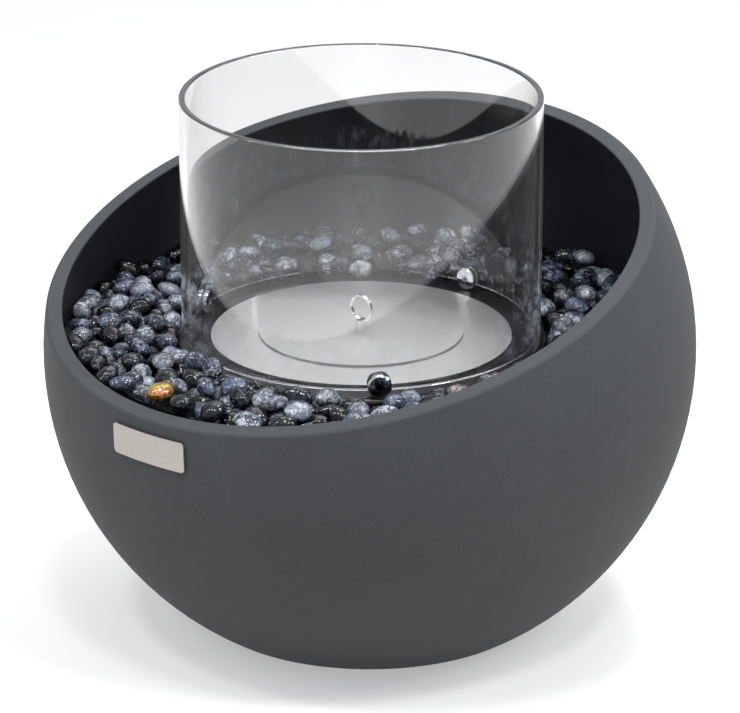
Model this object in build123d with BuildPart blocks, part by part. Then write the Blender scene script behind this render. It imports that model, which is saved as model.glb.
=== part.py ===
"""Bioethanol fire bowl: a cast concrete ball with a slanted mouth, a steel burner with a snuffer
lid set in a black tray of glass pebbles, and a lift-off glass wind guard on three round clips.

The origin is on the floor under the middle of the ball, +Z is up, and the lowest point of the
slanted rim faces -Y. The tray, burner and guard share one upright axis, the insert axis.
"""

import os
from math import acos, asin, cos, degrees, pi, radians, sin, sqrt
from random import Random

import numpy as np
from build123d import *
from scipy.spatial import ConvexHull

# Driving dimensions in millimetres and degrees

# Concrete ball
ball_radius = 200
wall = 10
base_radius = 106
base_thickness = 20
rim_tilt = 16.9
rim_distance = 68
rim_outer_round = 2.5
rim_inner_round = 1
ledge_thickness = 16
ledge_root_depth = 50

# Rubber pads under the base
pad_radius = 10
pad_thickness = 4
pad_proud = 2
pad_inset = 22
pad_count = 4
pad_turn = 45

# Plain badge plate below the lowest point of the rim
badge_width = 55.4
badge_height = 18.8
badge_corner = 2.5
badge_drop = 6.8
badge_thickness = 1.0
tape_thickness = 0.8

# Black tray, in heights over the centre of the ball
insert_offset = 8
deck_height = 10.7
deck_margin = 3
trough_depth = 7
tray_sheet = 1.5
tray_bend = 3
tray_gap = 10
tray_lip = 6

# Tray screws and the brass inserts cast into the ledge
screw_inset = 10
screw_margin = 6
screw_count = 4
screw_turn = 45
screw_radius = 2.5
screw_length = 12
screw_head_radius = 4.75
screw_head_height = 2.7
screw_socket = 3
insert_radius = 3.75
insert_length = 13

# Burner
can_radius = 75
can_sheet = 1.0
can_depth = 65
can_bend = 4
can_clearance = 2
flange_overhang = 17
flange_sheet = 1.5
mouth_radius = 56
wool_height = 38
wool_bevel = 2

# Snuffer lid
lid_overlap = 6.6
lid_sheet = 1.5
collar_depth = 4
collar_sheet = 1.0
collar_clearance = 1.5
stud_radius = 3
stud_height = 6.5
thread_radius = 2.5
thread_tail = 1.2
ring_radius = 8.3
ring_band = 1.0
ring_width = 2
ring_sink = 1.0
washer_radius = 5
washer_sheet = 1.0
nut_flats = 8
nut_height = 4

# Glass wind guard
guard_radius = 109.8
guard_wall = 4
guard_height = 148.5
guard_edge = 0.8

# Clips for the foot of the guard, at angles from the front towards +X, and free room before them
clip_angles = (46, 180.5, 288.5)
clip_radius = 7.25
clip_cheek = 2.6
clip_bevel = 0.8
clip_floor = 3.2
clip_room = 8
liner_thickness = 0.5
set_screw_radius = 2
set_screw_socket = 2
set_screw_recess = 0.3

# Loose glass pebbles
pebble_count = 400
pebble_length = 16.5
pebble_breadth = 13.8
pebble_thickness = 11.4
pebble_spread = 0.16
pebble_tilt = 24
pebble_gap = 0.35

# How uneven a pebble is, in shares of its half sizes and in radians
pebble_shoulder = 0.42
pebble_roughness = 0.10
pebble_step = 0.12
pebble_twist = 0.35

# The pour, and the shares of the mix by colour
pour_cell = 0.5
pour_tries = 200
pour_seed = 11
black_share = 0.41
slate_share = 0.21

# Where the odd pebbles lie on top of the bed, towards +X and towards +Y
amber_spot = (-6, -177)
clear_spots = ((108, -52), (113, -20))

# Clear pebble lying on the deck inside the guard, at the back
crystal_angle = 220.5
crystal_length = 16.4
crystal_breadth = 8
crystal_height = 12.2

# Small clearances
seat_gap = 0.3
thread_gap = 0.05
glue_gap = 0.05

# Heights above the floor and sizes that follow from the driving dimensions

base_level = pad_proud
ball_centre = base_level + sqrt(ball_radius**2 - base_radius**2)
inner_radius = ball_radius - wall
tray_radius = inner_radius - insert_offset - tray_gap
screw_circle = tray_radius - screw_inset
ledge_radius = screw_circle - insert_offset - screw_margin
deck_radius = guard_radius + deck_margin
flange_radius = can_radius + flange_overhang
lid_radius = mouth_radius + lid_overlap
pad_circle = base_radius - pad_inset
deck_level = ball_centre + deck_height
trough_level = deck_level - trough_depth
ledge_level = trough_level - tray_sheet
flange_level = deck_level + flange_sheet
lid_level = flange_level + lid_sheet
clip_length = guard_wall + 2 * (liner_thickness + clip_cheek)
clip_circle = guard_radius - guard_wall / 2
foot_level = deck_level + clip_floor + liner_thickness

rim_facing = Vector(0, -sin(radians(rim_tilt)), cos(radians(rim_tilt)))
rim_plane = Plane(
    origin=Vector(0, 0, ball_centre) + rim_facing * rim_distance,
    x_dir=(1, 0, 0),
    z_dir=rim_facing,
)
ball_section = Plane(origin=(0, 0, ball_centre), x_dir=(1, 0, 0), z_dir=(0, -1, 0))
insert_section = Plane(origin=(0, -insert_offset, 0), x_dir=(1, 0, 0), z_dir=(0, -1, 0))
insert_axis = Axis((0, -insert_offset, 0), (0, 0, 1))

os.makedirs("parts", exist_ok=True)


def insert_plane(level):
    """A level plane centred on the insert axis."""
    return Plane(origin=(0, -insert_offset, level))


def clip_plane(angle):
    """An upright plane across a clip, centred in the guard's wall, that faces away from the axis."""
    outward = (sin(radians(angle)), -cos(radians(angle)), 0)
    origin = (
        clip_circle * outward[0],
        clip_circle * outward[1] - insert_offset,
        deck_level + clip_radius,
    )
    return Plane(origin=origin, x_dir=(-outward[1], outward[0], 0), z_dir=outward)


def save(part, name):
    """Label a finished piece and write it to its own file."""
    part.label = name
    export_step(part, f"parts/{name}.step")


# Cast concrete ball: round outside, flat base, slanted mouth, and a cast ledge for the tray
with BuildPart() as bowl_shell:
    with BuildSketch(ball_section):
        with BuildLine():
            base_drop = ball_centre - base_level
            base_angle = -degrees(acos(base_radius / ball_radius))
            outer_arc = CenterArc((0, 0), ball_radius, base_angle, 90 - base_angle)
            Polyline(outer_arc @ 1, (0, -base_drop), outer_arc @ 0)
        make_face()
    revolve(axis=Axis.Z)
    with BuildSketch(ball_section):
        with BuildLine():
            ledge_drop = ball_centre - ledge_level
            floor_drop = base_drop - base_thickness
            root_drop = ledge_drop + ledge_root_depth
            ledge_angle = -degrees(asin(ledge_drop / inner_radius))
            inner_arc = CenterArc((0, 0), inner_radius, ledge_angle, 90 - ledge_angle)
            Polyline(
                inner_arc @ 1,
                (0, -floor_drop),
                (sqrt(inner_radius**2 - floor_drop**2), -floor_drop),
                (sqrt(inner_radius**2 - root_drop**2), -root_drop),
                (ledge_radius, -ledge_drop - ledge_thickness),
                (ledge_radius, -ledge_drop),
                inner_arc @ 0,
            )
        make_face()
    revolve(axis=Axis.Z, mode=Mode.SUBTRACT)
    split(bisect_by=rim_plane, keep=Keep.BOTTOM)
    rim_face = bowl_shell.faces().sort_by(Axis(rim_plane.origin, rim_facing))[-1]
    rim_edges = rim_face.edges().sort_by(SortBy.RADIUS)
    fillet(rim_edges[-1], rim_outer_round)
    circles = bowl_shell.edges().filter_by(GeomType.CIRCLE)
    fillet(circles.sort_by_distance(rim_edges[0].center())[0], rim_inner_round)
    with BuildSketch(Plane.XY.offset(base_level)):
        with PolarLocations(pad_circle, pad_count, start_angle=pad_turn):
            Circle(pad_radius)
    extrude(amount=pad_thickness - pad_proud, mode=Mode.SUBTRACT)
    with BuildSketch(insert_plane(ledge_level)):
        with PolarLocations(screw_circle, screw_count, start_angle=screw_turn):
            Circle(insert_radius)
    extrude(amount=-insert_length, mode=Mode.SUBTRACT)
save(bowl_shell.part, "bowl_shell")

# Rubber pads, half sunk in pockets of the base
with BuildPart() as base_pads:
    with BuildSketch():
        with PolarLocations(pad_circle, pad_count, start_angle=pad_turn):
            Circle(pad_radius)
    extrude(amount=pad_thickness)
save(base_pads.part, "base_pads")


def badge_layer(inner, thickness, inset):
    """A rounded rectangle of sheet that follows the ball, from one radius outwards."""
    rise = -badge_drop / ball_radius
    facing = (0, -cos(asin(rise)), rise)
    with BuildPart() as layer:
        with BuildSketch(Plane(origin=(0, 0, ball_centre), x_dir=(1, 0, 0), z_dir=facing)):
            width = badge_width - 2 * inset
            height = badge_height - 2 * inset
            RectangleRounded(width, height, badge_corner - inset)
        extrude(amount=inner + badge_height)
        with Locations((0, 0, ball_centre)):
            Sphere(inner + thickness, mode=Mode.INTERSECT)
            Sphere(inner, mode=Mode.SUBTRACT)
    return layer.part


# Badge: a bare metal plate bent to the ball, on a slightly smaller strip of double-sided tape
save(badge_layer(ball_radius, tape_thickness, badge_thickness), "badge_tape")
save(badge_layer(ball_radius + tape_thickness + glue_gap, badge_thickness, 0), "badge_plate")

# Black tray: one formed sheet with a raised deck, a pebble trough round it and a turned-up lip
with BuildPart() as burner_tray:
    with BuildSketch(insert_section):
        with BuildLine():
            half_sheet = tray_sheet / 2
            FilletPolyline(
                (can_radius + can_clearance, deck_level - half_sheet),
                (deck_radius, deck_level - half_sheet),
                (deck_radius, trough_level - half_sheet),
                (tray_radius, trough_level - half_sheet),
                (tray_radius, trough_level + tray_lip),
                radius=(tray_bend, 0, 0),
            )
        trace(line_width=tray_sheet)
    revolve(axis=insert_axis)
    with BuildSketch(insert_plane(trough_level)):
        with PolarLocations(screw_circle, screw_count, start_angle=screw_turn):
            Circle(screw_radius + seat_gap)
    extrude(amount=-tray_sheet, mode=Mode.SUBTRACT)
save(burner_tray.part, "burner_tray")

# Brass inserts cast into the ledge, and the button-head screws that hold the tray to them
with BuildPart() as tray_inserts:
    with BuildSketch(insert_plane(ledge_level)):
        with PolarLocations(screw_circle, screw_count, start_angle=screw_turn):
            Circle(insert_radius)
            Circle(screw_radius + thread_gap, mode=Mode.SUBTRACT)
    extrude(amount=-insert_length)
save(tray_inserts.part, "tray_inserts")

with BuildPart() as tray_screws:
    with BuildSketch(insert_plane(trough_level)):
        with PolarLocations(screw_circle, screw_count, start_angle=screw_turn):
            Circle(screw_head_radius)
    extrude(amount=screw_head_height)
    chamfer(tray_screws.edges().group_by(Axis.Z)[-1], screw_head_height / 2)
    with BuildSketch(insert_plane(trough_level)):
        with PolarLocations(screw_circle, screw_count, start_angle=screw_turn):
            Circle(screw_radius)
    extrude(amount=-screw_length)
    with BuildSketch(insert_plane(trough_level + screw_head_height)):
        with PolarLocations(screw_circle, screw_count, start_angle=screw_turn):
            RegularPolygon(screw_socket / 2, 6, major_radius=False)
    extrude(amount=-screw_head_height / 2, mode=Mode.SUBTRACT)
save(tray_screws.part, "tray_screws")

# Burner: a deep-drawn steel can hung from a wide flange, filled with ceramic wool
with BuildPart() as burner_can:
    with BuildSketch(insert_section):
        with BuildLine():
            can_line = FilletPolyline(
                (can_radius, deck_level),
                (can_radius, deck_level - can_depth),
                (0, deck_level - can_depth),
                radius=can_bend,
            )
            offset(can_line, amount=can_sheet, side=Side.RIGHT)
        make_face()
    revolve(axis=insert_axis)
save(burner_can.part, "burner_can")

with BuildPart() as burner_flange:
    with BuildSketch(insert_plane(deck_level)):
        Circle(flange_radius)
        Circle(mouth_radius, mode=Mode.SUBTRACT)
    extrude(amount=flange_sheet)
save(burner_flange.part, "burner_flange")

with BuildPart() as ceramic_wool:
    with BuildSketch(insert_plane(deck_level - can_depth + can_sheet)):
        Circle(can_radius - can_sheet - seat_gap)
    extrude(amount=wool_height)
    chamfer(ceramic_wool.edges().group_by(Axis.Z)[-1], wool_bevel)
    chamfer(ceramic_wool.edges().group_by(Axis.Z)[0], can_bend)
save(ceramic_wool.part, "ceramic_wool")

# Snuffer lid: a flat disc with a collar that drops into the burner's mouth
with BuildPart() as lid_disc:
    with BuildSketch(insert_plane(flange_level)):
        Circle(lid_radius)
        Circle(thread_radius + thread_gap, mode=Mode.SUBTRACT)
    extrude(amount=lid_sheet)
save(lid_disc.part, "lid_disc")

with BuildPart() as lid_collar:
    with BuildSketch(insert_plane(flange_level)):
        Circle(mouth_radius - collar_clearance)
        Circle(mouth_radius - collar_clearance - collar_sheet, mode=Mode.SUBTRACT)
    extrude(amount=-collar_depth)
save(lid_collar.part, "lid_collar")

# Lifting ring: a flat band ring welded on a threaded stud, drawn down by a washer and a nut
tail_length = lid_sheet + washer_sheet + nut_height + thread_tail
ring_level = lid_level + stud_height + ring_radius - ring_sink
with BuildPart() as lid_ring:
    with BuildSketch(insert_section):
        with Locations((0, ring_level)):
            Circle(ring_radius)
            Circle(ring_radius - ring_band, mode=Mode.SUBTRACT)
    extrude(amount=ring_width / 2, both=True)
    with BuildSketch(insert_plane(lid_level)):
        Circle(stud_radius)
    extrude(amount=stud_height)
    with BuildSketch(insert_plane(lid_level)):
        Circle(thread_radius)
    extrude(amount=-tail_length)
save(lid_ring.part, "lid_ring")

with BuildPart() as lid_washer:
    with BuildSketch(insert_plane(flange_level)):
        Circle(washer_radius)
        Circle(thread_radius + thread_gap, mode=Mode.SUBTRACT)
    extrude(amount=-washer_sheet)
save(lid_washer.part, "lid_washer")

with BuildPart() as lid_nut:
    with BuildSketch(insert_plane(flange_level - washer_sheet)):
        RegularPolygon(nut_flats / 2, 6, major_radius=False)
        Circle(thread_radius + thread_gap, mode=Mode.SUBTRACT)
    extrude(amount=-nut_height)
save(lid_nut.part, "lid_nut")

# Wind guard: a clear glass tube with polished edges, standing in the clips
with BuildPart() as glass_guard:
    with BuildSketch(insert_plane(foot_level)):
        Circle(guard_radius)
        Circle(guard_radius - guard_wall, mode=Mode.SUBTRACT)
    extrude(amount=guard_height)
    chamfer(glass_guard.edges().filter_by(GeomType.CIRCLE), guard_edge)
save(glass_guard.part, "glass_guard")

# Clips: short round bars laid across the glass, slotted from above and resting on the deck
with BuildPart() as glass_clips:
    for angle in clip_angles:
        with BuildSketch(clip_plane(angle)):
            Circle(clip_radius)
    extrude(amount=clip_length / 2, both=True)
    chamfer(glass_clips.edges().filter_by(GeomType.CIRCLE), clip_bevel)
    with BuildSketch(insert_plane(foot_level - liner_thickness)):
        Circle(guard_radius + liner_thickness)
        Circle(guard_radius - guard_wall - liner_thickness, mode=Mode.SUBTRACT)
    extrude(amount=2 * clip_radius, mode=Mode.SUBTRACT)
    for angle in clip_angles:
        with BuildSketch(clip_plane(angle).offset(-clip_length / 2)):
            Circle(set_screw_radius + thread_gap)
    extrude(amount=clip_cheek + liner_thickness, mode=Mode.SUBTRACT)
save(glass_clips.part, "glass_clips")

# Soft liners, folded round the foot of the glass inside each slot
with BuildPart() as clip_liners:
    for angle in clip_angles:
        with BuildSketch(clip_plane(angle)):
            Circle(clip_radius - clip_bevel)
    extrude(amount=clip_length / 2, both=True)
    with BuildSketch(insert_plane(foot_level - liner_thickness)):
        Circle(guard_radius + liner_thickness)
        Circle(guard_radius - guard_wall - liner_thickness, mode=Mode.SUBTRACT)
    extrude(amount=2 * clip_radius, mode=Mode.INTERSECT)
    with BuildSketch(insert_plane(foot_level)):
        Circle(guard_radius)
        Circle(guard_radius - guard_wall, mode=Mode.SUBTRACT)
    extrude(amount=2 * clip_radius, mode=Mode.SUBTRACT)
save(clip_liners.part, "clip_liners")

# Socket set screws through the inner cheeks, tightened against the liners
with BuildPart() as clip_screws:
    for angle in clip_angles:
        with BuildSketch(clip_plane(angle).offset(-clip_length / 2 + set_screw_recess)):
            Circle(set_screw_radius)
    extrude(amount=clip_cheek - set_screw_recess - thread_gap)
    for angle in clip_angles:
        with BuildSketch(clip_plane(angle).offset(-clip_length / 2 + set_screw_recess)):
            RegularPolygon(set_screw_socket / 2, 6, major_radius=False)
    extrude(amount=clip_cheek / 2, mode=Mode.SUBTRACT)
save(clip_screws.part, "clip_screws")


def pebble_points(length, breadth, thickness, dice):
    """Corners of a pebble: an uneven ellipsoid's two ends, four corners above and three below."""
    corners = [(0, 1), (0, -1)]
    for height, count in ((pebble_shoulder, 4), (-pebble_shoulder, 3)):
        for step in range(count):
            corners.append((2 * pi * step / count, height))
    points = []
    for turn, height in corners:
        turn += dice.uniform(-pebble_twist, pebble_twist)
        height = max(-1, min(1, height + dice.uniform(-pebble_step, pebble_step)))
        swell = 1 - dice.uniform(0, pebble_roughness)
        girth = sqrt(1 - height**2) * swell
        points.append((girth * cos(turn), girth * sin(turn), height * swell))
    points = np.array(points)
    middle = (points.max(axis=0) + points.min(axis=0)) / 2
    return (points - middle) / np.ptp(points, axis=0) * (length, breadth, thickness)


def random_pebble(dice):
    """One pebble of the mix, turned any way round and tipped a little, centred on the origin."""
    sizes = [
        size * (1 + dice.uniform(-pebble_spread, pebble_spread))
        for size in (pebble_length, pebble_breadth, pebble_thickness)
    ]
    pitch = dice.uniform(-pebble_tilt, pebble_tilt)
    roll = dice.uniform(-pebble_tilt, pebble_tilt)
    lie = Rotation(pitch, roll, dice.uniform(0, 360))
    turned = [lie * Pos(*point) for point in pebble_points(*sizes, dice)]
    return np.array([tuple(place.position) for place in turned])


def surfaces(points, swell, x, y):
    """Lower and upper height of a convex body over the grid x, y, grown outwards by swell."""
    faces = ConvexHull(points).equations
    normals = faces[:, :3]
    reach = swell - faces[:, 3]
    low = np.full(x.shape, -np.inf)
    high = np.full(x.shape, np.inf)
    for (nx, ny, nz), limit in zip(normals, reach):
        if nz == 0:
            continue
        level = (limit - nx * x - ny * y) / nz
        if nz > 0:
            high = np.minimum(high, level)
        else:
            low = np.maximum(low, level)
    inside = low <= high
    return np.where(inside, low, np.inf), np.where(inside, high, -np.inf), inside


def empty_trough(x, y):
    """Height of the tray, deck, ledge and screws under the pebbles, and infinity where none may lie."""
    from_axis = np.hypot(x, y + insert_offset)
    ground = np.full(x.shape, float(ledge_level))
    lip_reach = tray_sheet / 2 + pour_cell / 2
    ground[from_axis < tray_radius + lip_reach] = trough_level + tray_lip
    ground[from_axis < tray_radius - lip_reach] = trough_level
    bend = tray_bend + tray_sheet / 2
    past_bend = np.clip(from_axis - (deck_radius + tray_sheet / 2 - bend), 0, bend)
    deck = from_axis < deck_radius + tray_sheet / 2
    ground[deck] = (deck_level - bend + np.sqrt(bend**2 - past_bend**2))[deck]
    for step in range(screw_count):
        turn = radians(screw_turn + 360 * step / screw_count)
        from_screw = np.hypot(x - screw_circle * cos(turn), y + insert_offset - screw_circle * sin(turn))
        ground[from_screw < screw_head_radius] = trough_level + screw_head_height
    ground[from_axis < guard_radius + 2 * seat_gap] = np.inf
    for angle in clip_angles:
        outward = x * sin(radians(angle)) - (y + insert_offset) * cos(radians(angle))
        across = x * cos(radians(angle)) + (y + insert_offset) * sin(radians(angle))
        over_clip = abs(across) < clip_radius + 2 * seat_gap
        over_clip &= abs(outward - clip_circle) < clip_length / 2 + clip_room
        ground[over_clip] = np.inf
    highest = deck_height + pebble_length
    ground[np.hypot(x, y) > sqrt(inner_radius**2 - highest**2)] = np.inf
    return ground


def pour(dice):
    """Let each pebble fall to the lowest resting place found among a few random ones."""
    ticks = np.arange(-inner_radius, inner_radius + pour_cell, pour_cell)
    x, y = np.meshgrid(ticks, ticks, indexing="ij")
    ground = empty_trough(x, y)
    reach = int(pebble_length * (1 + pebble_spread) / 2 / pour_cell) + 2
    window = np.arange(-reach, reach + 1) * pour_cell
    window_x, window_y = np.meshgrid(window, window, indexing="ij")
    open_places = np.argwhere(np.isfinite(ground))
    poured = []
    for _ in range(pebble_count):
        points = random_pebble(dice)
        high = surfaces(points, 0, window_x, window_y)[1]
        low, _, under = surfaces(points, pebble_gap, window_x, window_y)
        best_rest = np.inf
        for _ in range(pour_tries):
            i, j = open_places[dice.randrange(len(open_places))]
            if min(i, j) < reach or max(i, j) + reach >= len(ticks):
                continue
            patch = ground[i - reach : i + reach + 1, j - reach : j + reach + 1]
            rest = np.max(patch[under] - low[under])
            if rest < best_rest:
                best_rest = rest
                best_place = (i, j)
        i, j = best_place
        patch = ground[i - reach : i + reach + 1, j - reach : j + reach + 1]
        np.maximum(patch, high + best_rest, out=patch)
        poured.append(points + (ticks[i], ticks[j], best_rest))
    return poured


def pebble_part(stones):
    """All the stones of one colour, as separate solids of one piece."""
    with BuildPart() as pebbles:
        add([ConvexPolyhedron(stone, mode=Mode.PRIVATE) for stone in stones])
    return pebbles.part


def nearest_on_top(stones, spot):
    """The stone whose middle is nearest to a spot, counting only stones with none lying over them."""
    middles = np.array([stone.mean(axis=0) for stone in stones])
    overlap = (pebble_breadth + pebble_thickness) / 2
    for index in np.argsort(np.hypot(*(middles[:, :2] - spot).T)):
        beside = np.hypot(*(middles[:, :2] - middles[index, :2]).T) < overlap
        if middles[index, 2] >= middles[beside, 2].max():
            break
    return stones[index]


# Pebbles: poured into the trough, then sorted by colour
dice = Random(pour_seed)
stones = pour(dice)
amber = nearest_on_top(stones, amber_spot)
clear = [nearest_on_top(stones, spot) for spot in clear_spots]
black = []
slate = []
mist = []
for stone in stones:
    draw = dice.random()
    if any(stone is odd for odd in [amber, *clear]):
        continue
    if draw < black_share:
        black.append(stone)
    elif draw < black_share + slate_share:
        slate.append(stone)
    else:
        mist.append(stone)
save(pebble_part(black), "pebbles_black")
save(pebble_part(slate), "pebbles_slate")
save(pebble_part(mist), "pebbles_mist")
save(pebble_part([amber]), "pebble_amber")
save(pebble_part(clear), "pebbles_clear")

# One clear pebble on the deck, between the flange and the glass
crystal_points = pebble_points(crystal_length, crystal_breadth, crystal_height, dice)
crystal_points -= (0, 0, crystal_points[:, 2].min())
crystal_circle = guard_radius - guard_wall - crystal_breadth / 2 - seat_gap
crystal_outward = Vector(sin(radians(crystal_angle)), -cos(radians(crystal_angle)), 0)
crystal_plane = Plane(
    origin=Vector(0, -insert_offset, deck_level) + crystal_outward * crystal_circle,
    x_dir=Vector(0, 0, 1).cross(crystal_outward),
    z_dir=(0, 0, 1),
)
with BuildPart(crystal_plane) as pebble_crystal:
    ConvexPolyhedron(crystal_points)
save(pebble_crystal.part, "pebble_crystal")
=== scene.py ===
"""A bioethanol fire bowl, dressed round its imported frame.

A cast concrete ball with a slanted mouth holds a black steel tray of tumbled glass pebbles. A
stainless burner with a loose snuffer lid hangs in the tray, and a clear glass tube stands round
the flame in three chromed clips. Units are metres, with the origin on the table under the ball.
"""

from math import cos, radians, sin, tau

import bmesh
import bpy
import numpy as np
from mathutils import Matrix, Vector


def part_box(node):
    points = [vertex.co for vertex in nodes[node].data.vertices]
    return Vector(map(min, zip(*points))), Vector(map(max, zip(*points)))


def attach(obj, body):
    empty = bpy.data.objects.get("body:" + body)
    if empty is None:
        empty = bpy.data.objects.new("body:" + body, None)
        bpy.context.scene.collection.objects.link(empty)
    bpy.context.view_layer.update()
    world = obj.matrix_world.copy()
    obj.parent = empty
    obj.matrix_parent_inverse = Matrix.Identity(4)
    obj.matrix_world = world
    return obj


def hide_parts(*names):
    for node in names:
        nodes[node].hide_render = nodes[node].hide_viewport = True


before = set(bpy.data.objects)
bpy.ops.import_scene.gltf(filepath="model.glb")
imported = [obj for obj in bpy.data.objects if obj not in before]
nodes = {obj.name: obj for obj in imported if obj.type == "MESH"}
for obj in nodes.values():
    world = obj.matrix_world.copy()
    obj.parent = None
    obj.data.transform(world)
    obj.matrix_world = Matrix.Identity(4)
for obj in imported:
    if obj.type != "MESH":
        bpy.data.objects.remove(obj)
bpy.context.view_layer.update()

# Camera: a long lens about 2.8 m off, looking down at 20 degrees on the ball from its front right,
# as a fit to the photo's outlines found it. It is aimed a little below the middle of the ball.
mm = 0.001
ball_centre = Vector((0, 0, 171.6 * mm))
ball_radius = 200 * mm
view_turn = radians(40.28)
view_rise = radians(20.505)
view_distance = 14 * ball_radius
view_reach = 50
aim_side = 0.1 * mm
aim_up = -6.6 * mm
lens = 221.84
sensor = 36

toward = Vector((sin(view_turn) * cos(view_rise), -cos(view_turn) * cos(view_rise), sin(view_rise)))
right = Vector((cos(view_turn), sin(view_turn), 0))
up = toward.cross(right)
camera_data = bpy.data.cameras.new("product_camera")
camera_data.lens = lens
camera_data.sensor_width = sensor
camera_data.sensor_fit = "HORIZONTAL"
camera_data.clip_end = view_reach
camera = bpy.data.objects.new("product_camera", camera_data)
camera.matrix_world = Matrix.Translation(
    ball_centre + toward * view_distance + right * aim_side + up * aim_up
) @ Matrix((right, up, toward)).transposed().to_4x4()
bpy.context.scene.collection.objects.link(camera)
bpy.context.scene.camera = camera
bpy.context.scene.view_settings.view_transform = "Standard"

# Table: a matt white top with painted glow: its surface shines by itself in three soft patches,
# not lit by any lamp. One keeps the shadow under the ball pale, and the glass mirrors the other two,
# in front and at the left. The far part glows too, so that it stays white up to the horizon.
floor_size = 30
glow_radius = 0.5
glow_patches = ((0, 0, 0.42), (0.5, -0.6, 0.55), (-0.64, -0.02, 0.65))
far_start = 1.2
far_end = 3.0
far_glow = 0.55


def linear(colour):
    """An sRGB hex colour as the linear colour that shaders and lights take."""
    shares = [int(colour[i : i + 2], 16) / 255 for i in (1, 3, 5)]
    return (*[s / 12.92 if s <= 0.04045 else ((s + 0.055) / 1.055) ** 2.4 for s in shares], 1)


def add_node(material, kind, values=None, **settings):
    """Adds a shader node with its settings. A value that is another node's output is linked."""
    made = material.node_tree.nodes.new("ShaderNode" + kind)
    for name, setting in settings.items():
        setattr(made, name, setting)
    for name, value in (values or {}).items():
        if isinstance(value, bpy.types.NodeSocket):
            material.node_tree.links.new(value, made.inputs[name])
        else:
            made.inputs[name].default_value = value
    return made


def new_material(name):
    """An empty material with its surface shader wired to the output."""
    material = bpy.data.materials.new(name)
    material.use_nodes = True
    material.node_tree.nodes.clear()
    shader = add_node(material, "BsdfPrincipled")
    add_node(material, "OutputMaterial", {"Surface": shader.outputs[0]})
    return material, shader


half = floor_size / 2
floor_corners = [(-half, -half, 0), (half, -half, 0), (half, half, 0), (-half, half, 0)]
floor_mesh = bpy.data.meshes.new("studio_floor")
floor_mesh.from_pydata(floor_corners, [], [(0, 1, 2, 3)])
floor = bpy.data.objects.new("studio_floor", floor_mesh)
bpy.context.scene.collection.objects.link(floor)
acrylic, shader = new_material("table_with_painted_glow")
place = add_node(acrylic, "TexCoord").outputs["Object"]
from_ball = add_node(acrylic, "VectorMath", {0: place}, operation="LENGTH")
far = add_node(
    acrylic, "MapRange",
    {"Value": from_ball.outputs["Value"], "From Min": far_start, "From Max": far_end, "To Max": far_glow},
    interpolation_type="SMOOTHSTEP",
)
# Painted glow: the top's own emission, which brightens it round the ball, in front, at the left and far
# off.
glow = far.outputs["Result"]
for x, y, strength in glow_patches:
    away = add_node(acrylic, "VectorMath", {0: place, 1: (x, y, 0)}, operation="DISTANCE")
    patch = add_node(
        acrylic, "MapRange",
        {"Value": away.outputs["Value"], "From Max": glow_radius, "To Min": strength, "To Max": 0},
        interpolation_type="SMOOTHSTEP",
    )
    both = add_node(acrylic, "Math", {0: patch.outputs["Result"], 1: glow}, operation="ADD")
    glow = both.outputs["Value"]
acrylic.node_tree.links.new(glow, shader.inputs["Emission Strength"])
shader.inputs["Emission Color"].default_value = linear("#FFFFFF")
shader.inputs["Base Color"].default_value = linear("#C7C6C4")
shader.inputs["Roughness"].default_value = 0.9
shader.inputs["Specular IOR Level"].default_value = 0.1
floor_mesh.materials.append(acrylic)

# Room and lights: overcast white walls, large softboxes overhead and behind, narrow strips at the
# sides, and small lamps that put the sparkle on the pebbles. Powers are in watts.
room_light = 0.82
overhead_size = 3.0
overhead_power = 20
back_width = 2.2
back_height = 1.4
back_power = 30
softbox_distance = 3.0
strip_width = 0.25
strip_height = 1.2
strip_distance = 2.4
left_power = 13
right_power = 26
lamp_size = 0.25
lamp_distance = 2.0
lamp_power = 10
lamps = (("lamp_left", -20, 60), ("lamp_middle", 30, 70), ("lamp_right", 80, 58), ("lamp_back", 170, 66))

room = bpy.data.worlds.new("white_room")
room.use_nodes = True
room.node_tree.nodes["Background"].inputs["Color"].default_value = linear("#F0F4FB")
room.node_tree.nodes["Background"].inputs["Strength"].default_value = room_light
bpy.context.scene.world = room


def add_softbox(name, turn, rise, distance, width, height, power):
    """A rectangular softbox that faces the ball, from a turn and a rise about it in degrees."""
    light = bpy.data.lights.new(name, "AREA")
    light.shape = "RECTANGLE"
    light.size = width
    light.size_y = height
    light.energy = power
    box = bpy.data.objects.new(name, light)
    turn = radians(turn)
    rise = radians(rise)
    away = Vector((sin(turn) * cos(rise), -cos(turn) * cos(rise), sin(rise)))
    box.location = ball_centre + away * distance
    box.rotation_euler = away.to_track_quat("Z", "Y").to_euler()
    bpy.context.scene.collection.objects.link(box)


add_softbox("overhead_softbox", 60, 80, softbox_distance, overhead_size, overhead_size, overhead_power)
add_softbox("left_strip", -35, 40, strip_distance, strip_width, strip_height, left_power)
add_softbox("right_strip", 120, 38, strip_distance, strip_width, strip_height, right_power)
add_softbox("back_softbox", 205, 50, softbox_distance, back_width, back_height, back_power)
for name, turn, rise in lamps:
    add_softbox(name, turn, rise, lamp_distance, lamp_size, lamp_size, lamp_power)

# Ball: glass-fibre concrete, cast in a smooth mould and sealed matt. It is anthracite right
# through, with faint clouds, a fine grit drawn coarser than it is and a few pinholes, and it is
# painted flat black inside.
wall = 10 * mm
paint_edge = 0.7 * mm
concrete_cloud = 60 * mm
concrete_grit = 0.6 * mm
pinhole_spacing = 14 * mm
pinhole_share = 0.04
pinhole_depth = 0.15 * mm


def wear(material, *names):
    """Gives frame nodes their finish."""
    for name in names:
        nodes[name].data.materials.clear()
        nodes[name].data.materials.append(material)


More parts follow.
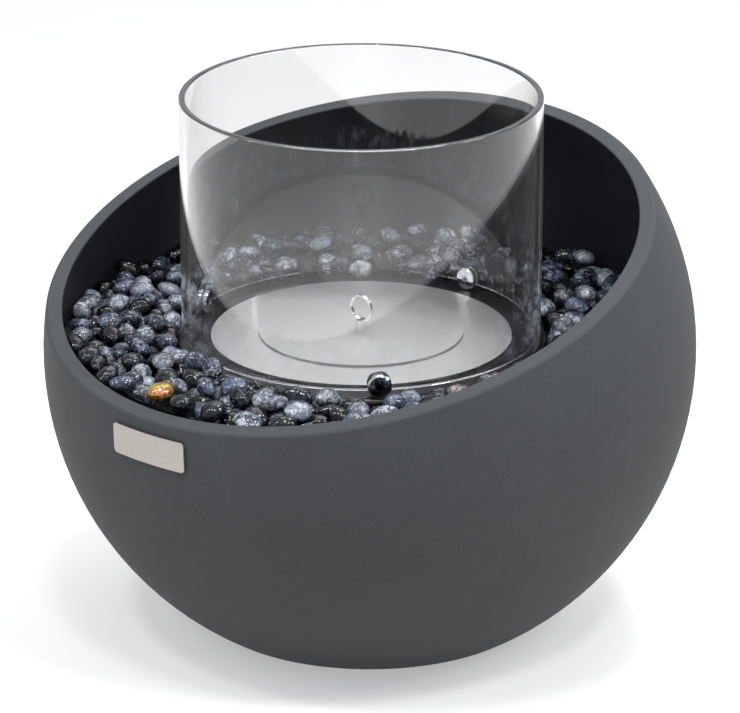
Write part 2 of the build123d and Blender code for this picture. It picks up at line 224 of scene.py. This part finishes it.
concrete, shader = new_material("sealed_anthracite_concrete")
place = add_node(concrete, "TexCoord").outputs["Object"]
clouds = add_node(
    concrete, "TexNoise", {"Vector": place, "Scale": 1 / concrete_cloud, "Detail": 5, "Roughness": 0.62}
)
tone = add_node(
    concrete, "Mix",
    {"Factor": clouds.outputs["Fac"], "A": linear("#454749"), "B": linear("#515355")},
    data_type="RGBA",
)
grit = add_node(
    concrete, "TexNoise", {"Vector": place, "Scale": 1 / concrete_grit, "Detail": 3, "Roughness": 0.6}
)
speckle = add_node(
    concrete, "Mix",
    {"Factor": grit.outputs["Fac"], "A": tone.outputs["Result"], "B": linear("#565859")},
    data_type="RGBA", blend_type="SOFT_LIGHT",
)
from_centre = add_node(concrete, "VectorMath", {0: place, 1: ball_centre}, operation="DISTANCE")
inside = add_node(
    concrete, "Math",
    {0: from_centre.outputs["Value"], 1: ball_radius - wall + paint_edge},
    operation="LESS_THAN",
)
painted = add_node(
    concrete, "Mix",
    {"Factor": inside.outputs["Value"], "A": speckle.outputs["Result"], "B": linear("#202226")},
    data_type="RGBA",
)
pores = add_node(
    concrete, "TexVoronoi", {"Vector": place, "Scale": 1 / pinhole_spacing, "Randomness": 1}
)
pore_depth = add_node(
    concrete, "MapRange", {"Value": pores.outputs["Distance"], "From Max": pinhole_share}
)
relief = add_node(
    concrete, "Math", {0: grit.outputs["Fac"], 1: pore_depth.outputs["Result"]}, operation="ADD"
)
bump = add_node(
    concrete, "Bump", {"Height": relief.outputs["Value"], "Strength": 0.25, "Distance": pinhole_depth}
)
concrete.node_tree.links.new(painted.outputs["Result"], shader.inputs["Base Color"])
concrete.node_tree.links.new(bump.outputs["Normal"], shader.inputs["Normal"])
shader.inputs["Roughness"].default_value = 0.68
shader.inputs["Specular IOR Level"].default_value = 0.18
wear(concrete, "bowl_shell")

# Feet and tape: four pads punched from black rubber sheet and half sunk in the base, and the foam
# tape behind the badge. A fine grain, drawn coarser than it is, keeps them from shining.
rubber_grain = 0.8 * mm
rubber_depth = 0.05 * mm
rubber, shader = new_material("black_rubber")
place = add_node(rubber, "TexCoord").outputs["Object"]
grain = add_node(rubber, "TexNoise", {"Vector": place, "Scale": 1 / rubber_grain, "Detail": 2})
tone = add_node(
    rubber, "Mix",
    {"Factor": grain.outputs["Fac"], "A": linear("#121213"), "B": linear("#242425")},
    data_type="RGBA",
)
bump = add_node(
    rubber, "Bump", {"Height": grain.outputs["Fac"], "Strength": 0.3, "Distance": rubber_depth}
)
rubber.node_tree.links.new(tone.outputs["Result"], shader.inputs["Base Color"])
rubber.node_tree.links.new(bump.outputs["Normal"], shader.inputs["Normal"])
shader.inputs["Roughness"].default_value = 0.8
wear(rubber, "base_pads", "badge_tape")

# Badge: a small plate of champagne-toned stainless, fine-brushed along its length and left bare.
# The brushing, drawn coarser than it is, spreads the light into a soft sheen.
badge_brush = 0.35 * mm
badge_stroke = 30 * mm
badge_depth = 0.02 * mm
badge_metal, shader = new_material("champagne_brushed_plate")
place = add_node(badge_metal, "TexCoord").outputs["Object"]
stretch = add_node(
    badge_metal, "Mapping",
    {"Vector": place, "Scale": (1 / badge_stroke, 1 / badge_brush, 1 / badge_brush)},
)
brush = add_node(
    badge_metal, "TexNoise", {"Vector": stretch.outputs["Vector"], "Scale": 1, "Detail": 3}
)
tone = add_node(
    badge_metal, "Mix",
    {"Factor": brush.outputs["Fac"], "A": linear("#A39D98"), "B": linear("#BFB9B4")},
    data_type="RGBA",
)
bump = add_node(
    badge_metal, "Bump", {"Height": brush.outputs["Fac"], "Strength": 0.2, "Distance": badge_depth}
)
badge_metal.node_tree.links.new(tone.outputs["Result"], shader.inputs["Base Color"])
badge_metal.node_tree.links.new(bump.outputs["Normal"], shader.inputs["Normal"])
shader.inputs["Metallic"].default_value = 1
shader.inputs["Roughness"].default_value = 0.42
wear(badge_metal, "badge_plate")

# Tray: one sheet of mild steel, drawn over a former and finished in semi-gloss black stove enamel,
# with a trace of orange peel.
enamel_peel = 2.5 * mm
enamel_depth = 0.05 * mm
enamel, shader = new_material("black_stove_enamel")
place = add_node(enamel, "TexCoord").outputs["Object"]
peel = add_node(enamel, "TexNoise", {"Vector": place, "Scale": 1 / enamel_peel, "Detail": 2})
tone = add_node(
    enamel, "Mix",
    {"Factor": peel.outputs["Fac"], "A": linear("#101012"), "B": linear("#1A1A1C")},
    data_type="RGBA",
)
bump = add_node(
    enamel, "Bump", {"Height": peel.outputs["Fac"], "Strength": 0.08, "Distance": enamel_depth}
)
enamel.node_tree.links.new(tone.outputs["Result"], shader.inputs["Base Color"])
enamel.node_tree.links.new(bump.outputs["Normal"], shader.inputs["Normal"])
shader.inputs["Roughness"].default_value = 0.22
wear(enamel, "burner_tray")

# Small fixings: zinc-plated screws, washer and nut, whose plating has a faint spangle, and brass
# inserts turned on a lathe. The lathe's rings are drawn 2.5 mm apart, coarser than they are.
zinc_spangle = 1.5 * mm
zinc_dull = (0.22, 0.38)
zinc, shader = new_material("bright_zinc_plate")
place = add_node(zinc, "TexCoord").outputs["Object"]
spangle = add_node(zinc, "TexNoise", {"Vector": place, "Scale": 1 / zinc_spangle, "Detail": 2})
dull = add_node(
    zinc, "MapRange", {"Value": spangle.outputs["Fac"], "To Min": zinc_dull[0], "To Max": zinc_dull[1]}
)
zinc.node_tree.links.new(dull.outputs["Result"], shader.inputs["Roughness"])
shader.inputs["Base Color"].default_value = linear("#BFC2C4")
shader.inputs["Metallic"].default_value = 1
wear(zinc, "tray_screws", "lid_washer", "lid_nut", "clip_screws")

turning_pitch = 0.4 * tau * mm
turning_depth = 0.03 * mm
wave_radians = 20
brass, shader = new_material("turned_brass")
place = add_node(brass, "TexCoord").outputs["Object"]
turning = add_node(
    brass, "TexWave", {"Vector": place, "Scale": tau / (wave_radians * turning_pitch)},
    bands_direction="Z",
)
bump = add_node(
    brass, "Bump", {"Height": turning.outputs["Fac"], "Strength": 0.2, "Distance": turning_depth}
)
brass.node_tree.links.new(bump.outputs["Normal"], shader.inputs["Normal"])
shader.inputs["Base Color"].default_value = linear("#C9A858")
shader.inputs["Metallic"].default_value = 1
shader.inputs["Roughness"].default_value = 0.3
wear(brass, "tray_inserts")

# Burner and lid: stainless sheet with a bead-blasted satin face. Its grain, drawn coarser than it
# is, spreads each light so wide that the discs look evenly pale, with faint handling marks.
satin_grain = 1.2 * mm
satin_depth = 0.02 * mm
satin_mark = 25 * mm
satin_dull = (0.42, 0.54)
satin_steel, shader = new_material("satin_stainless")
place = add_node(satin_steel, "TexCoord").outputs["Object"]
grain = add_node(satin_steel, "TexNoise", {"Vector": place, "Scale": 1 / satin_grain, "Detail": 2})
marks = add_node(
    satin_steel, "TexNoise",
    {"Vector": place, "Scale": 1 / satin_mark, "Detail": 4, "Distortion": 0.6},
)
tone = add_node(
    satin_steel, "Mix",
    {"Factor": grain.outputs["Fac"], "A": linear("#BBBABA"), "B": linear("#CDCCCC")},
    data_type="RGBA",
)
dull = add_node(
    satin_steel, "MapRange",
    {"Value": marks.outputs["Fac"], "To Min": satin_dull[0], "To Max": satin_dull[1]},
)
bump = add_node(
    satin_steel, "Bump", {"Height": grain.outputs["Fac"], "Strength": 0.05, "Distance": satin_depth}
)
satin_steel.node_tree.links.new(tone.outputs["Result"], shader.inputs["Base Color"])
satin_steel.node_tree.links.new(dull.outputs["Result"], shader.inputs["Roughness"])
satin_steel.node_tree.links.new(bump.outputs["Normal"], shader.inputs["Normal"])
shader.inputs["Metallic"].default_value = 1
wear(satin_steel, "burner_can", "burner_flange", "lid_disc", "lid_collar")

# Wool: a pad of white ceramic fibre, felted in layers, that soaks up the fuel in the can. It has a
# soft, tangled surface with no shine.
fibre_tangle = 2.0 * mm
fibre_depth = 0.6 * mm
wool, shader = new_material("ceramic_fibre_wool")
place = add_node(wool, "TexCoord").outputs["Object"]
tangle = add_node(
    wool, "TexNoise",
    {"Vector": place, "Scale": 1 / fibre_tangle, "Detail": 6, "Roughness": 0.7, "Distortion": 1.5},
)
tone = add_node(
    wool, "Mix",
    {"Factor": tangle.outputs["Fac"], "A": linear("#C6C2B8"), "B": linear("#FBF8F1")},
    data_type="RGBA",
)
bump = add_node(
    wool, "Bump", {"Height": tangle.outputs["Fac"], "Strength": 0.8, "Distance": fibre_depth}
)
wool.node_tree.links.new(tone.outputs["Result"], shader.inputs["Base Color"])
wool.node_tree.links.new(bump.outputs["Normal"], shader.inputs["Normal"])
shader.inputs["Roughness"].default_value = 0.95
wear(wool, "ceramic_wool")

# Lifting ring: stainless bent from strip, welded to its stud and polished by hand. The polish is
# bright, with a faint wave in it.
polish_wave = 3 * mm
polish_dull = (0.08, 0.2)
polished, shader = new_material("polished_stainless")
place = add_node(polished, "TexCoord").outputs["Object"]
wave = add_node(polished, "TexNoise", {"Vector": place, "Scale": 1 / polish_wave, "Detail": 2})
dull = add_node(
    polished, "MapRange",
    {"Value": wave.outputs["Fac"], "To Min": polish_dull[0], "To Max": polish_dull[1]},
)
polished.node_tree.links.new(dull.outputs["Result"], shader.inputs["Roughness"])
shader.inputs["Base Color"].default_value = linear("#DCDCDA")
shader.inputs["Metallic"].default_value = 1
wear(polished, "lid_ring")

# Clips: short lengths of round steel bar, slotted for the glass and chromed. The plating mirrors
# its surroundings sharply. Clear silicone strips line the slots.
plating_wave = 4 * mm
plating_dull = (0.03, 0.1)
chrome, shader = new_material("bright_chrome")
place = add_node(chrome, "TexCoord").outputs["Object"]
wave = add_node(chrome, "TexNoise", {"Vector": place, "Scale": 1 / plating_wave, "Detail": 2})
dull = add_node(
    chrome, "MapRange",
    {"Value": wave.outputs["Fac"], "To Min": plating_dull[0], "To Max": plating_dull[1]},
)
chrome.node_tree.links.new(dull.outputs["Result"], shader.inputs["Roughness"])
shader.inputs["Base Color"].default_value = linear("#D6D8DB")
shader.inputs["Metallic"].default_value = 1
wear(chrome, "glass_clips")

silicone_haze = 2 * mm
silicone, shader = new_material("clear_silicone")
place = add_node(silicone, "TexCoord").outputs["Object"]
haze = add_node(silicone, "TexNoise", {"Vector": place, "Scale": 1 / silicone_haze, "Detail": 2})
tone = add_node(
    silicone, "Mix",
    {"Factor": haze.outputs["Fac"], "A": linear("#B8BABC"), "B": linear("#CCCED0")},
    data_type="RGBA",
)
silicone.node_tree.links.new(tone.outputs["Result"], shader.inputs["Base Color"])
shader.inputs["Roughness"].default_value = 0.35
shader.inputs["Transmission Weight"].default_value = 0.4
wear(silicone, "clip_liners")

# Wind guard: a length of drawn glass tube with fire-polished rims. An extra loop of edges beside
# each rounding keeps the walls optically flat, so that nothing seen through them shifts. The
# drawing left faint upright streaks, and handling a trace of haze.
low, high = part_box("glass_guard")
guard_centre = (low + high) / 2
guard_radius = (high.x - low.x) / 2
guard_wall = 4 * mm
guard_foot = low.z
guard_top = high.z
guard_sides = 288
rim_round = 1.0 * mm
rim_steps = 6
rim_support = 0.25 * mm
profile = []
corners = (
    (guard_radius - rim_round, guard_foot + rim_round, -90),
    (guard_radius - rim_round, guard_top - rim_round, 0),
    (guard_radius - guard_wall + rim_round, guard_top - rim_round, 90),
    (guard_radius - guard_wall + rim_round, guard_foot + rim_round, 180),
)
for r, z, start in corners:
    arc = [radians(start + 90 * step / rim_steps) for step in range(rim_steps + 1)]
    arc = [(r + rim_round * cos(turn), z + rim_round * sin(turn)) for turn in arc]
    along = (-sin(radians(start)), cos(radians(start)))
    onward = (-along[1], along[0])
    profile.append((arc[0][0] - rim_support * along[0], arc[0][1] - rim_support * along[1]))
    profile += arc
    profile.append((arc[-1][0] + rim_support * onward[0], arc[-1][1] + rim_support * onward[1]))
verts = []
faces = []
for side in range(guard_sides):
    turn = tau * side / guard_sides
    verts += [(guard_centre.x + r * cos(turn), guard_centre.y + r * sin(turn), z) for r, z in profile]
    here = side * len(profile)
    beside = (side + 1) % guard_sides * len(profile)
    for point in range(len(profile)):
        after = (point + 1) % len(profile)
        faces.append((here + point, beside + point, beside + after, here + after))
guard_mesh = bpy.data.meshes.new("glass_tube")
guard_mesh.from_pydata(verts, [], faces)
guard_mesh.shade_smooth()
guard = bpy.data.objects.new("glass_tube", guard_mesh)
bpy.context.scene.collection.objects.link(guard)

smear_size = 60 * mm
streak_width = 3 * mm
streak_length = 120 * mm
streak_edge = (0.62, 0.72)
glass_haze = (0.05, 0.25)
clear_glass, shader = new_material("clear_drawn_glass")
place = add_node(clear_glass, "TexCoord").outputs["Object"]
smears = add_node(clear_glass, "TexNoise", {"Vector": place, "Scale": 1 / smear_size, "Detail": 3})
tone = add_node(
    clear_glass, "Mix",
    {"Factor": smears.outputs["Fac"], "A": linear("#F1F1F1"), "B": linear("#F8F8F9")},
    data_type="RGBA",
)
drawn = add_node(
    clear_glass, "Mapping",
    {"Vector": place, "Scale": (1 / streak_width, 1 / streak_width, 1 / streak_length)},
)
streaks = add_node(
    clear_glass, "TexNoise", {"Vector": drawn.outputs["Vector"], "Scale": 1, "Detail": 1}
)
haze = add_node(
    clear_glass, "MapRange",
    {
        "Value": streaks.outputs["Fac"], "From Min": streak_edge[0], "From Max": streak_edge[1],
        "To Min": glass_haze[0], "To Max": glass_haze[1],
    },
)
clear_glass.node_tree.links.new(tone.outputs["Result"], shader.inputs["Base Color"])
clear_glass.node_tree.links.new(haze.outputs["Result"], shader.inputs["Sheen Weight"])
shader.inputs["Roughness"].default_value = 0
shader.inputs["IOR"].default_value = 1.52
shader.inputs["Transmission Weight"].default_value = 1
shader.inputs["Sheen Roughness"].default_value = 0.5
guard_mesh.materials.append(clear_glass)
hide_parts("glass_guard")
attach(guard, "wind_guard")

# Pebbles: tumbled chips of smoky, slate and marbled glass. Each is the stone that lies at its place
# in the frame, with its corners worn round and its faces a little uneven. It is 2% larger than that
# stone's box, since wearing it round would otherwise thin the bed.
weld_distance = 0.01 * mm
stone_smoothing = 3
stone_fill = 1.02
stone_lump = 0.1 * mm
lump_length = 9 * mm
corner_wear = (0, 0.1, 0.25)
roundness = 0.65


def worn_stones(name, node, seed):
    """Wears every stone of a frame node round, by a different amount, and fits it to its box."""
    dice = np.random.default_rng(seed)
    source = bmesh.new()
    source.from_mesh(nodes[node].data)
    bmesh.ops.remove_doubles(source, verts=source.verts, dist=weld_distance)
    bmesh.ops.recalc_face_normals(source, faces=source.faces)
    layer = source.verts.layers.float.new("stone")
    crease = source.edges.layers.float.new("crease_edge")
    found = set()
    stones = []
    for start in source.verts:
        if start in found:
            continue
        found.add(start)
        members = [start]
        for vert in members:
            for edge in vert.link_edges:
                other = edge.other_vert(vert)
                if other not in found:
                    found.add(other)
                    members.append(other)
        sharpness = dice.choice(corner_wear)
        for vert in members:
            vert[layer] = len(stones)
            for edge in vert.link_edges:
                edge[crease] = sharpness
        stones.append([vert.co.copy() for vert in members])
    rough = bpy.data.meshes.new(name + "_rough")
    source.to_mesh(rough)
    source.free()
    holder = bpy.data.objects.new(name + "_rough", rough)
    bpy.context.scene.collection.objects.link(holder)
    holder.modifiers.new("rounding", "SUBSURF").levels = stone_smoothing
    rounded = holder.evaluated_get(bpy.context.evaluated_depsgraph_get())
    smooth = bpy.data.meshes.new_from_object(rounded)
    bpy.data.objects.remove(holder)
    smooth.name = name
    places = np.empty(len(smooth.vertices) * 3)
    smooth.vertices.foreach_get("co", places)
    places = places.reshape(-1, 3)
    stone = np.empty(len(smooth.vertices))
    smooth.attributes["stone"].data.foreach_get("value", stone)
    stone = np.rint(stone).astype(int)
    for index, corners in enumerate(stones):
        corners = np.array(corners)
        mine = stone == index
        middle = (corners.min(axis=0) + corners.max(axis=0)) / 2
        spread = places[mine] - (places[mine].min(axis=0) + places[mine].max(axis=0)) / 2
        turned = spread @ np.linalg.svd(spread, full_matrices=False)[2].T
        across = np.linalg.norm(turned / np.abs(turned).max(axis=0), axis=1, keepdims=True)
        spread *= 1 + roundness * (1 / across - 1)
        waves = dice.normal(size=(3, 3)) * tau / lump_length
        lump = np.sin(spread @ waves + dice.uniform(0, tau, 3)).sum(axis=1, keepdims=True)
        spread *= 1 + lump * stone_lump / np.linalg.norm(spread, axis=1, keepdims=True)
        spread *= np.ptp(corners, axis=0) / np.ptp(spread, axis=0) * stone_fill
        places[mine] = spread + middle - (spread.max(axis=0) + spread.min(axis=0)) / 2
    smooth.vertices.foreach_set("co", places.ravel())
    smooth.update()
    smooth.shade_smooth()
    made = bpy.data.objects.new(name, smooth)
    bpy.context.scene.collection.objects.link(made)
    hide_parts(node)
    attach(made, "bowl")
    return made


marble_size = 5 * mm
vein_edge = (0.46, 0.66)
crack_sparkle_size = 1.3 * mm
crack_sparkle_edge = (0.38, 0.22)
crack_sparkle_softness = 0.1
painted_rim_blend = 0.35
dimple_size = 5 * mm
dimple_depth = 0.15 * mm


def tumbled_glass(name, dark, light, veins, painted_rim_shade, veined, crack_sparkle_share):
    """Glossy glass that varies by stone: veins, white crack flecks that paint sparkle, and painted rim
    shade.
    """
    material, shader = new_material(name)
    place = add_node(material, "TexCoord").outputs["Object"]
    stone = add_node(material, "Attribute", attribute_name="stone").outputs["Fac"]
    chance = add_node(material, "TexWhiteNoise", {"W": stone}, noise_dimensions="1D")
    odds = add_node(material, "SeparateColor", {"Color": chance.outputs["Color"]})
    share = add_node(
        material, "Math", {0: odds.outputs["Red"], 1: odds.outputs["Blue"]}, operation="MULTIPLY"
    )
    body = add_node(
        material, "Mix",
        {"Factor": share.outputs["Value"], "A": linear(dark), "B": linear(light)},
        data_type="RGBA",
    )
    moved = add_node(material, "VectorMath", {0: place, 1: chance.outputs["Color"]}, operation="ADD")
    shifted = moved.outputs["Vector"]
    marble = add_node(
        material, "TexNoise",
        {"Vector": shifted, "Scale": 1 / marble_size, "Detail": 4, "Roughness": 0.65, "Distortion": 1.0},
    )
    most = add_node(
        material, "MapRange",
        {"Value": odds.outputs["Green"], "To Min": veined[0], "To Max": veined[1]},
    )
    vein = add_node(
        material, "MapRange",
        {
            "Value": marble.outputs["Fac"], "From Min": vein_edge[0], "From Max": vein_edge[1],
            "To Max": most.outputs["Result"],
        },
    )
    clouded = add_node(
        material, "Mix",
        {"Factor": vein.outputs["Result"], "A": body.outputs["Result"], "B": linear(veins)},
        data_type="RGBA",
    )
    # Painted sparkle: white flecks that stand for cracks inside the glass and for the glints they throw.
    cells = add_node(
        material, "TexVoronoi", {"Vector": shifted, "Scale": 1 / crack_sparkle_size, "Randomness": 1}
    )
    speck = add_node(
        material, "MapRange",
        {"Value": cells.outputs["Distance"], "From Min": crack_sparkle_edge[0], "From Max": crack_sparkle_edge[1]},
    )
    pick = add_node(material, "SeparateColor", {"Color": cells.outputs["Color"]})
    chosen = add_node(
        material, "MapRange",
        {
            "Value": pick.outputs["Red"],
            "From Min": 1 - crack_sparkle_share, "From Max": 1 + crack_sparkle_softness - crack_sparkle_share,
        },
    )
    crack_sparkle = add_node(
        material, "Math", {0: speck.outputs["Result"], 1: chosen.outputs["Result"]},
        operation="MULTIPLY",
    )
    colour = add_node(
        material, "Mix",
        {"Factor": crack_sparkle.outputs["Value"], "A": clouded.outputs["Result"], "B": linear("#E8ECF2")},
        data_type="RGBA",
    )
    # Painted shade: the colour darkens to the rim colour where the surface turns away from the view.
    edge = add_node(material, "LayerWeight", {"Blend": painted_rim_blend})
    with_painted_rim = add_node(
        material, "Mix",
        {"Factor": edge.outputs["Facing"], "A": colour.outputs["Result"], "B": linear(painted_rim_shade)},
        data_type="RGBA",
    )
    dimples = add_node(
        material, "TexNoise", {"Vector": shifted, "Scale": 1 / dimple_size, "Detail": 1}
    )
    bump = add_node(
        material, "Bump", {"Height": dimples.outputs["Fac"], "Strength": 0.3, "Distance": dimple_depth}
    )
    material.node_tree.links.new(with_painted_rim.outputs["Result"], shader.inputs["Base Color"])
    material.node_tree.links.new(bump.outputs["Normal"], shader.inputs["Normal"])
    shader.inputs["Roughness"].default_value = 0.04
    shader.inputs["Specular IOR Level"].default_value = 0.3
    return material, shader


black_stones = worn_stones("black_glass_stones", "pebbles_black", 1)
black_glass, _ = tumbled_glass(
    "smoky_black_glass", dark="#030304", light="#1C1F25", veins="#565E6A", painted_rim_shade="#020203",
    veined=(0, 0.4), crack_sparkle_share=0.08,
)
black_stones.data.materials.append(black_glass)
slate_stones = worn_stones("slate_glass_stones", "pebbles_slate", 2)
slate_glass, _ = tumbled_glass(
    "slate_grey_glass", dark="#0C0F15", light="#485268", veins="#97A3BA", painted_rim_shade="#07080A",
    veined=(0.2, 0.9), crack_sparkle_share=0.22,
)
slate_stones.data.materials.append(slate_glass)
mist_stones = worn_stones("mist_glass_stones", "pebbles_mist", 3)
mist_glass, _ = tumbled_glass(
    "marbled_grey_glass", dark="#1B212B", light="#949EAE", veins="#DCE2EE", painted_rim_shade="#101318",
    veined=(0.3, 1), crack_sparkle_share=0.30,
)
mist_stones.data.materials.append(mist_glass)

# Odd pebbles: an amber one with an iridescent skin, whose thickness is in nanometres, two clear
# ones with a faint pink cast, and a clear one inside the guard. Light goes through the clear ones,
# and their white flecks paint the sparkle of cracks inside.
skin_thickness = 375
skin_ior = 2.0
amber_stone = worn_stones("amber_glass_stone", "pebble_amber", 4)
amber_glass, shader = tumbled_glass(
    "iridescent_amber_glass", dark="#7A2E0A", light="#8A3A0E", veins="#DCA842", painted_rim_shade="#6A4420",
    veined=(1, 1), crack_sparkle_share=0.12,
)
shader.inputs["Thin Film Thickness"].default_value = skin_thickness
shader.inputs["Thin Film IOR"].default_value = skin_ior
amber_stone.data.materials.append(amber_glass)
clear_stones = worn_stones("clear_glass_stones", "pebbles_clear", 5)
pink_glass, shader = tumbled_glass(
    "clear_pink_glass", dark="#6A6268", light="#A89EA4", veins="#F0D0D6", painted_rim_shade="#2A2628",
    veined=(0.6, 1), crack_sparkle_share=0.6,
)
shader.inputs["Transmission Weight"].default_value = 0.5
clear_stones.data.materials.append(pink_glass)
crystal_stone = worn_stones("crystal_glass_stone", "pebble_crystal", 6)
crystal_glass, shader = tumbled_glass(
    "clear_crystal_glass", dark="#7C8086", light="#9CA0A6", veins="#F4F6F8", painted_rim_shade="#50555A",
    veined=(0.8, 1), crack_sparkle_share=0.7,
)
shader.inputs["Transmission Weight"].default_value = 0.4
crystal_stone.data.materials.append(crystal_glass)
